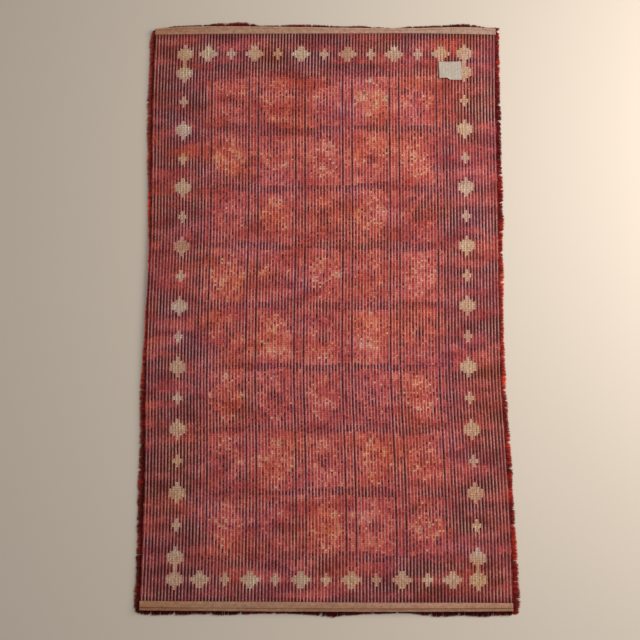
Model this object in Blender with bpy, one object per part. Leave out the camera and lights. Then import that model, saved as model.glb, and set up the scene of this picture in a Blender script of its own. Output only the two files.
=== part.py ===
"""Long-pile wool rug that lies face down: its ribbed woven back is up, its pile rests on the floor.

Four pieces, as a maker would make and sew them: the woven rug with its pile, a binding tape over
each end, and a small blank label on the back. Metres, +Z up, +Y along the rug from its foot to its
head, origin on the floor under the middle.
"""

import math
from collections import namedtuple

import bmesh
import bpy
import numpy as np

# Woven back, ribbed along its length
RIBS = 110
RIB_HEIGHT = 0.0012
PILE_HEIGHT = 0.0140
GROUND_THICKNESS = 0.0030
SWELLS_ACROSS = 1.6

# Sections across the rug, foot to head: the edges of the weave, and how far the back swells
Section = namedtuple("Section", "y left right swell")
SECTIONS = [
    Section(y=-1.1500, left=-0.6974, right=0.7010, swell=0.0004),
    Section(y=-0.8625, left=-0.6932, right=0.7012, swell=-0.0006),
    Section(y=-0.5750, left=-0.6934, right=0.6938, swell=0.0007),
    Section(y=-0.2875, left=-0.6990, right=0.6832, swell=0.0010),
    Section(y=0.0000, left=-0.6990, right=0.6850, swell=-0.0004),
    Section(y=0.2875, left=-0.6948, right=0.6887, swell=-0.0008),
    Section(y=0.5750, left=-0.6980, right=0.6913, swell=0.0006),
    Section(y=0.8625, left=-0.7015, right=0.6940, swell=0.0003),
    Section(y=1.1500, left=-0.6990, right=0.7010, swell=-0.0005),
]

# Edges of the end tapes, at shares of the rug's width from left to right
TapeLine = namedtuple("TapeLine", "share foot_outer foot_inner head_inner head_outer")
TAPE_LINES = [
    TapeLine(share=0.00, foot_outer=-1.1500, foot_inner=-1.1155, head_inner=1.1280, head_outer=1.1490),
    TapeLine(share=0.09, foot_outer=-1.1510, foot_inner=-1.1165, head_inner=1.1290, head_outer=1.1590),
    TapeLine(share=0.20, foot_outer=-1.1515, foot_inner=-1.1170, head_inner=1.1295, head_outer=1.1620),
    TapeLine(share=0.40, foot_outer=-1.1525, foot_inner=-1.1180, head_inner=1.1285, head_outer=1.1580),
    TapeLine(share=0.60, foot_outer=-1.1525, foot_inner=-1.1190, head_inner=1.1280, head_outer=1.1525),
    TapeLine(share=0.72, foot_outer=-1.1520, foot_inner=-1.1190, head_inner=1.1275, head_outer=1.1490),
    TapeLine(share=0.88, foot_outer=-1.1505, foot_inner=-1.1190, head_inner=1.1230, head_outer=1.1520),
    TapeLine(share=1.00, foot_outer=-1.1490, foot_inner=-1.1195, head_inner=1.1180, head_outer=1.1510),
]
TAPE_STEPS = 22
TAPE_THICKNESS = 0.0012
TAPE_DROP = 0.0050
ROLL_WIDTH = 0.0090
ROLL_THICKNESS = 0.0026
CREASE_WIDTH = 0.0022
CREASE_DEPTH = 0.0006

# Locks of pile round the rim, the shortest and longest on each side, and how far the furthest reach
LOCKS_PER_END = 44
LOCKS_PER_SIDE = 96
LockRow = namedtuple("LockRow", "side outward shortest longest limit")
LOCK_ROWS = [
    LockRow(side="left", outward=(-1, 0), shortest=0.014, longest=0.024, limit=0.7250),
    LockRow(side="right", outward=(1, 0), shortest=0.014, longest=0.024, limit=0.7250),
    LockRow(side="foot", outward=(0, -1), shortest=0.011, longest=0.018, limit=1.1680),
    LockRow(side="head", outward=(0, 1), shortest=0.005, longest=0.010, limit=1.1680),
]
LOCK_ROOT_HEIGHT = 0.0105
LOCK_TIP_HEIGHT = 0.0026
LOCK_TIP_SHARE = 0.32
LOCK_LEAN = 0.0045
LOCK_SEED = 7

# Underside of the pile: hollows between lumps that are pressed flat where they bear
CELLS_ACROSS = 22
CELLS_ALONG = 32
HOLLOW_DEPTH = 0.0055
HOLLOW_SEED = 11

# Label sewn on the back near the head, the left part of its lower edge curled up and so shorter
LABEL_LEFT = 0.4660
LABEL_RIGHT = 0.5585
LABEL_FOOT = 0.9256
LABEL_HEAD = 1.0035
LABEL_THICKNESS = 0.0010
LABEL_COLUMNS = 9
LABEL_ROWS = 7
CURL_WIDTH = 0.0410
CURL_LENGTH = 0.0450
CURL_SHORTENING = 0.0078
CURL_LIFT = 0.0034

# Clearance between pieces that touch
GAP = 0.0003

COLUMNS = 2 * RIBS
SEGMENTS = len(SECTIONS) - 1
BACK_LEVEL = PILE_HEIGHT + GROUND_THICKNESS


def clear_scene():
    for item in list(bpy.data.objects):
        bpy.data.objects.remove(item, do_unlink=True)


def make_material(name, colour, roughness):
    material = bpy.data.materials.new(name)
    material.use_nodes = True
    shader = material.node_tree.nodes["Principled BSDF"]
    shader.inputs["Base Color"].default_value = (*colour, 1.0)
    shader.inputs["Roughness"].default_value = roughness
    shader.inputs["Metallic"].default_value = 0.0
    material.diffuse_color = (*colour, 1.0)
    return material


def make_object(name, bm, material):
    bmesh.ops.recalc_face_normals(bm, faces=bm.faces)
    mesh = bpy.data.meshes.new(name)
    bm.to_mesh(mesh)
    bm.free()
    mesh.materials.append(material)
    piece = bpy.data.objects.new(name, mesh)
    bpy.context.scene.collection.objects.link(piece)
    return piece


def smooth_through(knots, values, place):
    """Value at a place on a smooth curve through the rows of a table."""
    slopes = np.gradient(values, knots)
    k = min(np.searchsorted(knots, place, side="right") - 1, len(knots) - 2)
    span = knots[k + 1] - knots[k]
    t = (place - knots[k]) / span
    from_start = values[k] * (1 + 2 * t) + slopes[k] * span * t
    from_end = values[k + 1] * (3 - 2 * t) - slopes[k + 1] * span * (1 - t)
    return from_start * (1 - t) ** 2 + from_end * t**2


def tape_line(column, share):
    """Y of one edge of a tape: a smooth line, but straight between the tape's own stations."""
    knots = np.array([row.share for row in TAPE_LINES])
    values = np.array([getattr(row, column) for row in TAPE_LINES])
    stations = np.linspace(0.0, 1.0, TAPE_STEPS + 1)
    return float(np.interp(share, stations, [smooth_through(knots, values, s) for s in stations]))


def weave_end(side, share):
    """Y where the weave stops, inside the tape that turns down over it."""
    if side == "head":
        return tape_line("head_outer", share) - TAPE_THICKNESS - GAP
    return tape_line("foot_outer", share) + ROLL_THICKNESS + GAP


def at_section(column, y):
    return float(np.interp(y, [row.y for row in SECTIONS], [getattr(row, column) for row in SECTIONS]))


def plan_point(share, k):
    """X and Y on section k at a share of its width. The first and last sections follow the tapes."""
    section = SECTIONS[k]
    x = section.left + share * (section.right - section.left)
    if k == 0:
        return x, weave_end("foot", share)
    if k == SEGMENTS:
        return x, weave_end("head", share)
    return x, section.y


def groove_height(share, swell):
    """Height of the grooves between the ribs, where the back swells over the pile."""
    return BACK_LEVEL + swell * math.cos(2 * math.pi * SWELLS_ACROSS * share)


def crest_height(x, y):
    """Height of the ribs' crests, on which tapes and label lie."""
    left = at_section("left", y)
    share = (x - left) / (at_section("right", y) - left)
    return groove_height(share, at_section("swell", y)) + RIB_HEIGHT


def add_back(bm):
    """Ribbed upper face. Returns its vertices, a row for each section, each from left to right."""
    rows = []
    for k, section in enumerate(SECTIONS):
        row = []
        for i in range(COLUMNS + 1):
            share = i / COLUMNS
            z = groove_height(share, section.swell) + RIB_HEIGHT * (i % 2)
            row.append(bm.verts.new((*plan_point(share, k), z)))
        rows.append(row)
    for lower, upper in zip(rows, rows[1:]):
        for i in range(COLUMNS):
            bm.faces.new((lower[i], lower[i + 1], upper[i + 1], upper[i]))
    return rows


def add_ring(bm, height):
    """Vertices round the rug at one height, one at each end of each lock's root."""
    per_segment = LOCKS_PER_SIDE // SEGMENTS
    ring = {}
    for side, share in (("left", 0.0), ("right", 1.0)):
        corners = np.array([plan_point(share, k) for k in range(SEGMENTS + 1)])
        places = np.arange(LOCKS_PER_SIDE + 1) / per_segment
        xs = np.interp(places, range(SEGMENTS + 1), corners[:, 0])
        ys = np.interp(places, range(SEGMENTS + 1), corners[:, 1])
        ring[side] = [bm.verts.new((x, y, height)) for x, y in zip(xs, ys)]
    for side, k in (("foot", 0), ("head", SEGMENTS)):
        inner = [plan_point(i / LOCKS_PER_END, k) for i in range(1, LOCKS_PER_END)]
        corner = 0 if side == "foot" else -1
        between = [bm.verts.new((x, y, height)) for x, y in inner]
        ring[side] = [ring["left"][corner], *between, ring["right"][corner]]
    return ring


def add_walls(bm, rows, roots):
    """Walls from the edge of the back down to the tops of the locks' roots."""
    per_segment = LOCKS_PER_SIDE // SEGMENTS
    for side, column in (("left", 0), ("right", -1)):
        for k in range(SEGMENTS):
            low = roots[side][k * per_segment:(k + 1) * per_segment + 1]
            bm.faces.new((*low, rows[k + 1][column], rows[k][column]))
    per_lock = COLUMNS // LOCKS_PER_END
    for side, row in (("foot", rows[0]), ("head", rows[-1])):
        for k in range(LOCKS_PER_END):
            high = row[k * per_lock:(k + 1) * per_lock + 1]
            bm.faces.new((roots[side][k], roots[side][k + 1], *reversed(high)))


def add_locks(bm, roots, floor):
    """A tapered four-sided lock of pile from each root, level on the floor."""
    rng = np.random.default_rng(LOCK_SEED)
    for row in LOCK_ROWS:
        outward = np.array(row.outward)
        low = np.array([vertex.co[:2] for vertex in floor[row.side]])
        edge = (low[1:] + low[:-1]) @ outward / 2
        lengths = rng.uniform(row.shortest, row.longest, len(edge))
        lengths += row.limit - np.max(edge + lengths)
        leans = rng.uniform(-LOCK_LEAN, LOCK_LEAN, len(edge))
        heights = LOCK_TIP_HEIGHT * rng.uniform(0.7, 1.3, len(edge))
        along = np.abs(outward[::-1])
        for k, length in enumerate(lengths):
            middle = (low[k] + low[k + 1]) @ along / 2 + leans[k]
            half = (low[k + 1] - low[k]) @ along * LOCK_TIP_SHARE / 2
            start = outward * (edge[k] + length) + along * (middle - half)
            end = outward * (edge[k] + length) + along * (middle + half)
            tip = [bm.verts.new((*plan, z)) for plan, z in
                   ((start, 0.0), (end, 0.0), (end, heights[k]), (start, heights[k]))]
            root = (floor[row.side][k], floor[row.side][k + 1], roots[row.side][k + 1], roots[row.side][k])
            for a in range(4):
                bm.faces.new((root[a], root[(a + 1) % 4], tip[(a + 1) % 4], tip[a]))
            bm.faces.new(tip)


def add_underside(bm, floor):
    """Lumpy lower face of the pile, flat along the rim and under the middle of the rug."""
    rng = np.random.default_rng(HOLLOW_SEED)
    per_cell_x = LOCKS_PER_END // CELLS_ACROSS
    per_cell_y = LOCKS_PER_SIDE // CELLS_ALONG
    grid = {}
    for q in range(CELLS_ALONG + 1):
        left = floor["left"][q * per_cell_y]
        right = floor["right"][q * per_cell_y]
        for p in range(CELLS_ACROSS + 1):
            hollow = HOLLOW_DEPTH * max(0.0, rng.uniform(-0.6, 1.0))
            if q in (0, CELLS_ALONG):
                grid[p, q] = floor["foot" if q == 0 else "head"][p * per_cell_x]
            elif p in (0, CELLS_ACROSS):
                grid[p, q] = left if p == 0 else right
            else:
                by_rim = p in (1, CELLS_ACROSS - 1) or q in (1, CELLS_ALONG - 1)
                in_middle = abs(p - CELLS_ACROSS / 2) <= 1 and abs(q - CELLS_ALONG / 2) <= 1
                point = left.co.lerp(right.co, p / CELLS_ACROSS)
                point.z = 0.0 if by_rim or in_middle else hollow
                grid[p, q] = bm.verts.new(point)
    for q in range(CELLS_ALONG):
        for p in range(CELLS_ACROSS):
            low = [grid[p, q], grid[p + 1, q]]
            high = [grid[p, q + 1], grid[p + 1, q + 1]]
            near = [grid[p, q], grid[p, q + 1]]
            far = [grid[p + 1, q], grid[p + 1, q + 1]]
            if q == 0:
                low = floor["foot"][p * per_cell_x:(p + 1) * per_cell_x + 1]
            if q == CELLS_ALONG - 1:
                high = floor["head"][p * per_cell_x:(p + 1) * per_cell_x + 1]
            if p == 0:
                near = floor["left"][q * per_cell_y:(q + 1) * per_cell_y + 1]
            if p == CELLS_ACROSS - 1:
                far = floor["right"][q * per_cell_y:(q + 1) * per_cell_y + 1]
            bm.faces.new(near[:-1] + high[:-1] + far[:0:-1] + low[:0:-1])


def make_woven_rug(material):
    """The weave and its pile in one solid: ribbed back, rim of locks and lumpy underside."""
    bm = bmesh.new()
    rows = add_back(bm)
    roots = add_ring(bm, LOCK_ROOT_HEIGHT)
    floor = add_ring(bm, 0.0)
    add_walls(bm, rows, roots)
    add_locks(bm, roots, floor)
    add_underside(bm, floor)
    return make_object("woven_rug", bm, material)


def make_tape(name, side, section, material):
    """Binding tape: one cross-section carried across the rug on the crests of the ribs.

    A section's points are (edge that it is measured from, distance outward, height)."""
    outward = 1 if side == "head" else -1
    bm = bmesh.new()
    rings = []
    for k in range(TAPE_STEPS + 1):
        share = k / TAPE_STEPS
        end = SECTIONS[SEGMENTS if side == "head" else 0]
        x = end.left + share * (end.right - end.left)
        base = crest_height(x, end.y) + GAP
        ring = []
        for edge, distance, height in section:
            y = tape_line(f"{side}_{edge}", share) + outward * distance
            ring.append(bm.verts.new((x, y, base + height)))
        rings.append(ring)
    for ring, following in zip(rings, rings[1:]):
        for a in range(len(ring)):
            b = (a + 1) % len(ring)
            bm.faces.new((ring[a], ring[b], following[b], following[a]))
    bm.faces.new(rings[0])
    bm.faces.new(reversed(rings[-1]))
    return make_object(name, bm, material)


def make_head_tape(material):
    section = [
        ("inner", 0.0, 0.0),
        ("inner", 0.0, TAPE_THICKNESS),
        ("outer", -TAPE_THICKNESS / 2, TAPE_THICKNESS),
        ("outer", 0.0, TAPE_THICKNESS / 2),
        ("outer", 0.0, -TAPE_DROP),
        ("outer", -TAPE_THICKNESS, -TAPE_DROP),
        ("outer", -TAPE_THICKNESS, 0.0),
    ]
    return make_tape("head_tape", "head", section, material)


def make_foot_tape(material):
    """The foot's tape has a stitched crease, and beyond it a rolled edge that turns down."""
    crease = -ROLL_WIDTH
    section = [
        ("inner", 0.0, 0.0),
        ("inner", 0.0, TAPE_THICKNESS),
        ("outer", crease - CREASE_WIDTH, TAPE_THICKNESS),
        ("outer", crease - CREASE_WIDTH / 2, TAPE_THICKNESS - CREASE_DEPTH),
        ("outer", crease, TAPE_THICKNESS),
        ("outer", crease + ROLL_WIDTH * 0.25, TAPE_THICKNESS * 1.6),
        ("outer", crease + ROLL_WIDTH * 0.60, TAPE_THICKNESS * 1.6),
        ("outer", -ROLL_WIDTH * 0.12, TAPE_THICKNESS * 0.8),
        ("outer", 0.0, -TAPE_DROP * 0.35),
        ("outer", -ROLL_WIDTH * 0.06, -TAPE_DROP * 0.80),
        ("outer", -ROLL_THICKNESS * 0.60, -TAPE_DROP),
        ("outer", -ROLL_THICKNESS, -TAPE_DROP * 0.90),
        ("outer", -ROLL_THICKNESS, 0.0),
    ]
    return make_tape("foot_tape", "foot", section, material)


def make_label(material):
    """Small blank label that lies on the ribs, with the left part of its lower edge curled up."""
    bm = bmesh.new()
    layers = []
    for thickness in (0.0, LABEL_THICKNESS):
        layer = []
        for j in range(LABEL_ROWS + 1):
            up = j / LABEL_ROWS
            row = []
            for i in range(LABEL_COLUMNS + 1):
                x = LABEL_LEFT + (LABEL_RIGHT - LABEL_LEFT) * i / LABEL_COLUMNS
                curled = min(1.0, max(0.0, (LABEL_LEFT + CURL_WIDTH - x) / (CURL_WIDTH / 2)))
                foot = LABEL_FOOT + CURL_SHORTENING * curled
                y = foot + (LABEL_HEAD - foot) * up
                bend = max(0.0, 1.0 - (y - foot) / CURL_LENGTH)
                lift = CURL_LIFT * curled * bend**2
                row.append(bm.verts.new((x, y, crest_height(x, y) + GAP + lift + thickness)))
            layer.append(row)
        layers.append(layer)
    for layer in layers:
        for lower, upper in zip(layer, layer[1:]):
            for i in range(LABEL_COLUMNS):
                bm.faces.new((lower[i], lower[i + 1], upper[i + 1], upper[i]))
    under, over = (
        layer[0] + [row[-1] for row in layer[1:-1]] + layer[-1][::-1] + [row[0] for row in layer[-2:0:-1]]
        for layer in layers
    )
    for a in range(len(under)):
        b = (a + 1) % len(under)
        bm.faces.new((under[a], under[b], over[b], over[a]))
    return make_object("sewn_label", bm, material)


def main():
    clear_scene()
    make_woven_rug(make_material("wool", (0.30, 0.05, 0.06), 0.95))
    tape = make_material("tape_cotton", (0.45, 0.33, 0.26), 0.90)
    make_head_tape(tape)
    make_foot_tape(tape)
    make_label(make_material("label_cloth", (0.66, 0.60, 0.50), 0.85))


main()
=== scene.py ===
"""Looks of a long-pile wool rug that lies face down: ribbed back, knots, rim of pile, tapes, label."""

import math

import bpy
import numpy as np
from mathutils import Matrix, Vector


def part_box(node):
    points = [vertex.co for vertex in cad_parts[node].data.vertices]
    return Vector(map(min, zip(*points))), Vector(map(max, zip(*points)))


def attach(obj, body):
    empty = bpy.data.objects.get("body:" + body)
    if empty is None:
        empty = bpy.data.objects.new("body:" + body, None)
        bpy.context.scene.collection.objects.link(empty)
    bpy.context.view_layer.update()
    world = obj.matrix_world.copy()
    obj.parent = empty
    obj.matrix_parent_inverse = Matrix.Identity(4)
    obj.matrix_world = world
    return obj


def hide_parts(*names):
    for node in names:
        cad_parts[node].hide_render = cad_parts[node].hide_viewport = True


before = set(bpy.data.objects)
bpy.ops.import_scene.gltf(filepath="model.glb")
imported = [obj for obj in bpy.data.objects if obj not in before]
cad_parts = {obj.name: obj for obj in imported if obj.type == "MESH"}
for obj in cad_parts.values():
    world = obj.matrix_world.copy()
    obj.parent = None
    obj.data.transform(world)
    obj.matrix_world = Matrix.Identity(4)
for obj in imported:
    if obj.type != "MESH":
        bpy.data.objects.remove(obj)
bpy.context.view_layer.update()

# Camera, fitted to the photograph's corners
CAMERA_PLACE = (0.008, -0.312, 2.478)
CAMERA_TURN = (5.94, 0.63, -0.02)
CAMERA_LENS = 35.5

# Studio
WORLD_COLOUR = (1.0, 0.97, 0.94, 1.0)
WORLD_STRENGTH = 0.29
FLOOR_COLOUR = (0.62, 0.55, 0.47, 1.0)
FLOOR_REACH = 60.0
LIGHTS = (
    # name, place, target, size, power, colour
    ("key", (3.1, 0.9, 2.3), (0.2, 0.1, 0.0), 2.4, 160, (1.0, 0.95, 0.90)),
    ("fill", (0.8, 0.2, 3.8), (0.2, 0.0, 0.0), 3.0, 19, (1.0, 0.97, 0.95)),
)

# Weave, with heights over the grooves of the CAD back
SECTIONS = 9  # of the CAD back, from foot to head
BACK_FLOOR = 0.0140  # only the ribbed back's points lie above this
RIB_PITCH = 0.0127
ROWS = 288  # rows of knots
RIB_ROWS = 144
RIB_HEIGHT = 0.0012
GROUND_TOP = -0.00055
GROUND_BOTTOM = -0.0030
GROUND_ROWS = 73
GROUND_COLUMNS = 34
CORD_RADIUS = 0.0025
CORD_RINGS = 4 * ROWS + 1
CORD_SIDES = 6
CORD_INSET = 0.0012
CORD_DROP = 0.0016

# Pile under the weave
PILE_TOP = 0.0139
TUFT_ROWS = 204
TUFT_COLUMNS = 120
TUFT_DEPTH = 0.0050
TUFT_FLOOR = 0.0003
TUFT_RIM = 0.0004
TUFT_JITTER = 0.0012
STRAND_FLOOR = 0.0002

# Tapes and label
TAPE_THICKNESS = 0.0012
TAPE_DROP = 0.0050
TAPE_STATIONS = 421
TAPE_SWAY = 0.0012
TAPE_WAVE = 0.0004
TAPE_PUCKER = 0.0003
STITCH_PITCH = 0.0064
STITCH_RADII = (0.00022, 0.00036, 0.00030, 0.0001)
STITCH_RISE = 0.0003
STITCH_SLANT = 0.0004
LABEL_THICKNESS = 0.0007
LABEL_COLUMNS = 61
LABEL_ROWS = 53


def linear(hex_colour):
    """Linear RGB of an sRGB hex colour."""
    values = np.array([int(hex_colour[k:k + 2], 16) for k in (0, 2, 4)]) / 255
    return np.where(values <= 0.04045, values / 12.92, ((values + 0.055) / 1.055) ** 2.4)


PALETTE = np.array([linear(colour) for colour in (
    "441416",  # plum
    "641d21",  # maroon
    "872d2c",  # crimson
    "a83f37",  # red
    "c0614d",  # coral
    "ca8967",  # apricot
    "b4937a",  # cream
)])
TONE_STEPS = [0.18, 0.36, 0.50, 0.66, 0.80, 0.94]  # tones at which one colour gives way to the next
PILE_PALETTE = np.array([linear(colour) for colour in (
    "661218",  # plum
    "84181e",  # maroon
    "a22322",  # crimson
    "ba3422",  # red
    "b8603c",  # rust
)])
PILE_STEPS = [0.22, 0.44, 0.62, 0.84]
# Colour of the painted light on the strands' tips
TIP_PAINTED_LIGHT = linear("945040")
RIB_THREAD = linear("cc8a84")
CREAM_THREAD = linear("bc9a84")
HEAD_TAPE_COLOUR = linear("ac856d")
FOOT_TAPE_COLOUR = linear("a47c62")
LABEL_COLOUR = linear("b0a496")
STITCH_COLOUR = linear("8a6a58")


# Camera, lights and floor

def add_camera():
    data = bpy.data.cameras.new("camera")
    data.lens = CAMERA_LENS
    camera = bpy.data.objects.new("camera", data)
    camera.location = CAMERA_PLACE
    camera.rotation_euler = [math.radians(angle) for angle in CAMERA_TURN]
    bpy.context.scene.collection.objects.link(camera)
    bpy.context.scene.camera = camera


def add_area_light(name, place, target, size, power, colour):
    data = bpy.data.lights.new(name, "AREA")
    data.shape = "DISK"
    data.size = size
    data.energy = power
    data.color = colour
    light = bpy.data.objects.new(name, data)
    light.location = place
    direction = np.array(target) - np.array(place)
    light.rotation_euler = Vector(direction).to_track_quat("-Z", "Y").to_euler()
    bpy.context.scene.collection.objects.link(light)


def add_studio():
    world = bpy.data.worlds.new("studio")
    world.use_nodes = True
    background = world.node_tree.nodes["Background"]
    background.inputs["Color"].default_value = WORLD_COLOUR
    background.inputs["Strength"].default_value = WORLD_STRENGTH
    bpy.context.scene.world = world
    for light in LIGHTS:
        add_area_light(*light)
    bpy.context.scene.view_settings.view_transform = "Standard"


def add_floor():
    mesh = bpy.data.meshes.new("floor")
    far = FLOOR_REACH
    mesh.from_pydata([(-far, -far, 0), (far, -far, 0), (far, far, 0), (-far, far, 0)], [], [(0, 1, 2, 3)])
    floor = bpy.data.objects.new("floor", mesh)
    bpy.context.scene.collection.objects.link(floor)
    material, _, shader = new_material("floor", 0.55)
    shader.inputs["Base Color"].default_value = FLOOR_COLOUR
    mesh.materials.append(material)


# Materials

def new_material(name, roughness, sheen=0.0, gloss=0.12):
    material = bpy.data.materials.new(name)
    material.use_nodes = True
    tree = material.node_tree
    shader = tree.nodes["Principled BSDF"]
    for socket, value in (("Roughness", roughness), ("Specular IOR Level", gloss),
                          ("Sheen Weight", sheen), ("Sheen Roughness", 0.45)):
        shader.inputs[socket].default_value = value
    return material, tree, shader


def add_node(tree, kind, **values):
    """A shader node, with its properties and input sockets set by name, _ for a space."""
    node = tree.nodes.new("ShaderNode" + kind)
    for name, value in values.items():
        if hasattr(node, name):
            setattr(node, name, value)
        else:
            node.inputs[name.replace("_", " ")].default_value = value
    return node


def stretched_noise(tree, stretch, scale, detail):
    """Noise in the object's own metres, stretched along its axes."""
    place = add_node(tree, "TexCoord")
    mapping = add_node(tree, "Mapping", Scale=stretch)
    noise = add_node(tree, "TexNoise", Scale=scale, Detail=detail, Roughness=0.6)
    tree.links.new(place.outputs["Object"], mapping.inputs["Vector"])
    tree.links.new(mapping.outputs["Vector"], noise.inputs["Vector"])
    return noise


def shade_range(tree, source, low, high):
    """A grey that runs from low to high with the middle values of a noise or wave output."""
    spread = add_node(tree, "MapRange", From_Min=0.3, From_Max=0.7, To_Min=low, To_Max=high)
    tree.links.new(source, spread.inputs["Value"])
    return spread.outputs["Result"]


def tint_range(tree, source, low, high):
    """A colour that runs from low to high with a noise output."""
    mix = add_node(tree, "Mix", data_type="RGBA")
    tree.links.new(shade_range(tree, source, 0.0, 1.0), mix.inputs["Factor"])
    mix.inputs["A"].default_value = (*low, 1.0)
    mix.inputs["B"].default_value = (*high, 1.0)
    return mix.outputs["Result"]


def multiply_colour(tree, colour, shade):
    """One colour output multiplied by another, or by a grey."""
    mix = add_node(tree, "Mix", data_type="RGBA", blend_type="MULTIPLY")
    mix.inputs["Factor"].default_value = 1.0
    tree.links.new(colour, mix.inputs["A"])
    tree.links.new(shade, mix.inputs["B"])
    return mix.outputs["Result"]


def add_bump(tree, shader, height, distance):
    bump = add_node(tree, "Bump", Strength=1.0, Distance=distance)
    tree.links.new(height, bump.inputs["Height"])
    tree.links.new(bump.outputs["Normal"], shader.inputs["Normal"])


def yarn_material(name, stretch, fibre_scale, depth, contrast, blotch_scale, low, high, sheen, gloss):
    """Dyed wool: the mesh's own yarn colours, mottled fibre by fibre and worn in blotches."""
    material, tree, shader = new_material(name, 0.92, sheen, gloss)
    yarn = add_node(tree, "Attribute", attribute_name="yarn")
    fibres = stretched_noise(tree, stretch, fibre_scale, 3.0)
    blotches = stretched_noise(tree, (1.0, 0.8, 1.0), blotch_scale, 1.0)
    fine = shade_range(tree, fibres.outputs["Fac"], 1.0 - contrast, 1.0 + contrast)
    worn = tint_range(tree, blotches.outputs["Fac"], low, high)
    colour = multiply_colour(tree, yarn.outputs["Color"], fine)
    colour = multiply_colour(tree, colour, worn)
    tree.links.new(colour, shader.inputs["Base Color"])
    rough = shade_range(tree, fibres.outputs["Fac"], 0.84, 0.98)
    tree.links.new(rough, shader.inputs["Roughness"])
    add_bump(tree, shader, fibres.outputs["Fac"], depth)
    return material


def cloth_material(name, colour, thread_pitch, depth, wear):
    """Plain-woven cloth, faintly soiled. Where colour is None it takes each point's own yarn colour."""
    material, tree, shader = new_material(name, 0.85, sheen=0.15)
    place = add_node(tree, "TexCoord")
    bands = 2 * math.pi / (20 * thread_pitch)
    waves = []
    for direction in ("X", "Y"):
        wave = add_node(tree, "TexWave", bands_direction=direction, Scale=bands,
                        Distortion=0.6, Detail=1.0)
        tree.links.new(place.outputs["Object"], wave.inputs["Vector"])
        waves.append(wave.outputs["Fac"])
    weave = add_node(tree, "Math", operation="MAXIMUM")
    tree.links.new(waves[0], weave.inputs[0])
    tree.links.new(waves[1], weave.inputs[1])
    stain = stretched_noise(tree, (1.0, 1.4, 1.0), 80.0, 4.0)
    threads = stretched_noise(tree, (0.25, 3.0, 1.0), 220.0, 2.0)
    if colour is None:
        base = add_node(tree, "Attribute", attribute_name="yarn").outputs["Color"]
    else:
        base = add_node(tree, "RGB").outputs[0]
        base.default_value = (*colour, 1.0)
    stained = tint_range(tree, stain.outputs["Fac"], (1 - wear, 1 - 1.2 * wear, 1 - 1.3 * wear),
                         (1 + wear, 1 + 1.2 * wear, 1 + 1.5 * wear))
    shade = multiply_colour(tree, base, stained)
    shade = multiply_colour(tree, shade, shade_range(tree, threads.outputs["Fac"], 0.93, 1.06))
    shade = multiply_colour(tree, shade, shade_range(tree, weave.outputs[0], 0.86, 1.04))
    tree.links.new(shade, shader.inputs["Base Color"])
    add_bump(tree, shader, weave.outputs[0], depth)
    return material


# Mesh helpers

def make_piece(name, points, faces, material, point_colours=None, corner_colours=None):
    """A smooth mesh of points and faces, with a yarn colour for each point or for each face corner."""
    mesh = bpy.data.meshes.new(name)
    mesh.from_pydata(np.asarray(points).tolist(), [], faces)
    for domain, colours in (("POINT", point_colours), ("CORNER", corner_colours)):
        if colours is not None:
            attribute = mesh.color_attributes.new("yarn", "FLOAT_COLOR", domain)
            rgba = np.column_stack([colours, np.ones(len(colours))])
            attribute.data.foreach_set("color", rgba.ravel())
    mesh.shade_smooth()
    mesh.materials.append(material)
    piece = bpy.data.objects.new(name, mesh)
    bpy.context.scene.collection.objects.link(piece)
    return piece


def grid_quads(rows, columns, start=0):
    """Quads of a grid of points that is stored row by row, facing up where rows run along +Y."""
    k = np.arange((rows - 1) * (columns - 1))
    low = start + (k // (columns - 1)) * columns + k % (columns - 1)
    return np.column_stack([low, low + 1, low + columns + 1, low + columns])


def grid_rim(rows, columns):
    """Numbers of a grid's outermost points, once round."""
    k = np.arange(rows * columns).reshape(rows, columns)
    return np.concatenate([k[0], k[1:, -1], k[-1, -2::-1], k[-2:0:-1, 0]])


def closed_sheet_faces(rows, columns):
    """Faces of a closed sheet: a grid of upper points, one of lower points and a wall round them."""
    top = grid_quads(rows, columns)
    under = rows * columns
    rim = grid_rim(rows, columns)
    after = np.roll(rim, -1)
    wall = np.column_stack([rim, rim + under, after + under, after])
    return np.concatenate([top, top[:, ::-1] + under, wall]).tolist()


def sleeve_corners(rings, sides):
    """Numbers of the four corners of every quad of a sleeve that is stored ring by ring."""
    k = np.arange((rings - 1) * sides)
    low = (k // sides) * sides
    at = low + k % sides
    after = low + (k + 1) % sides
    return at, after, after + sides, at + sides


def tube_faces(count, rings, sides):
    """Faces of many closed tubes, each stored ring by ring and then one tip point."""
    size = rings * sides + 1
    faces = []
    for tube in range(count):
        start = tube * size
        faces.append([start + s for s in reversed(range(sides))])
        for r in range(rings - 1):
            low = start + r * sides
            faces += [[low + s, low + (s + 1) % sides, low + sides + (s + 1) % sides, low + sides + s]
                      for s in range(sides)]
        last = start + (rings - 1) * sides
        faces += [[last + s, last + (s + 1) % sides, start + size - 1] for s in range(sides)]
    return faces


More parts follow.
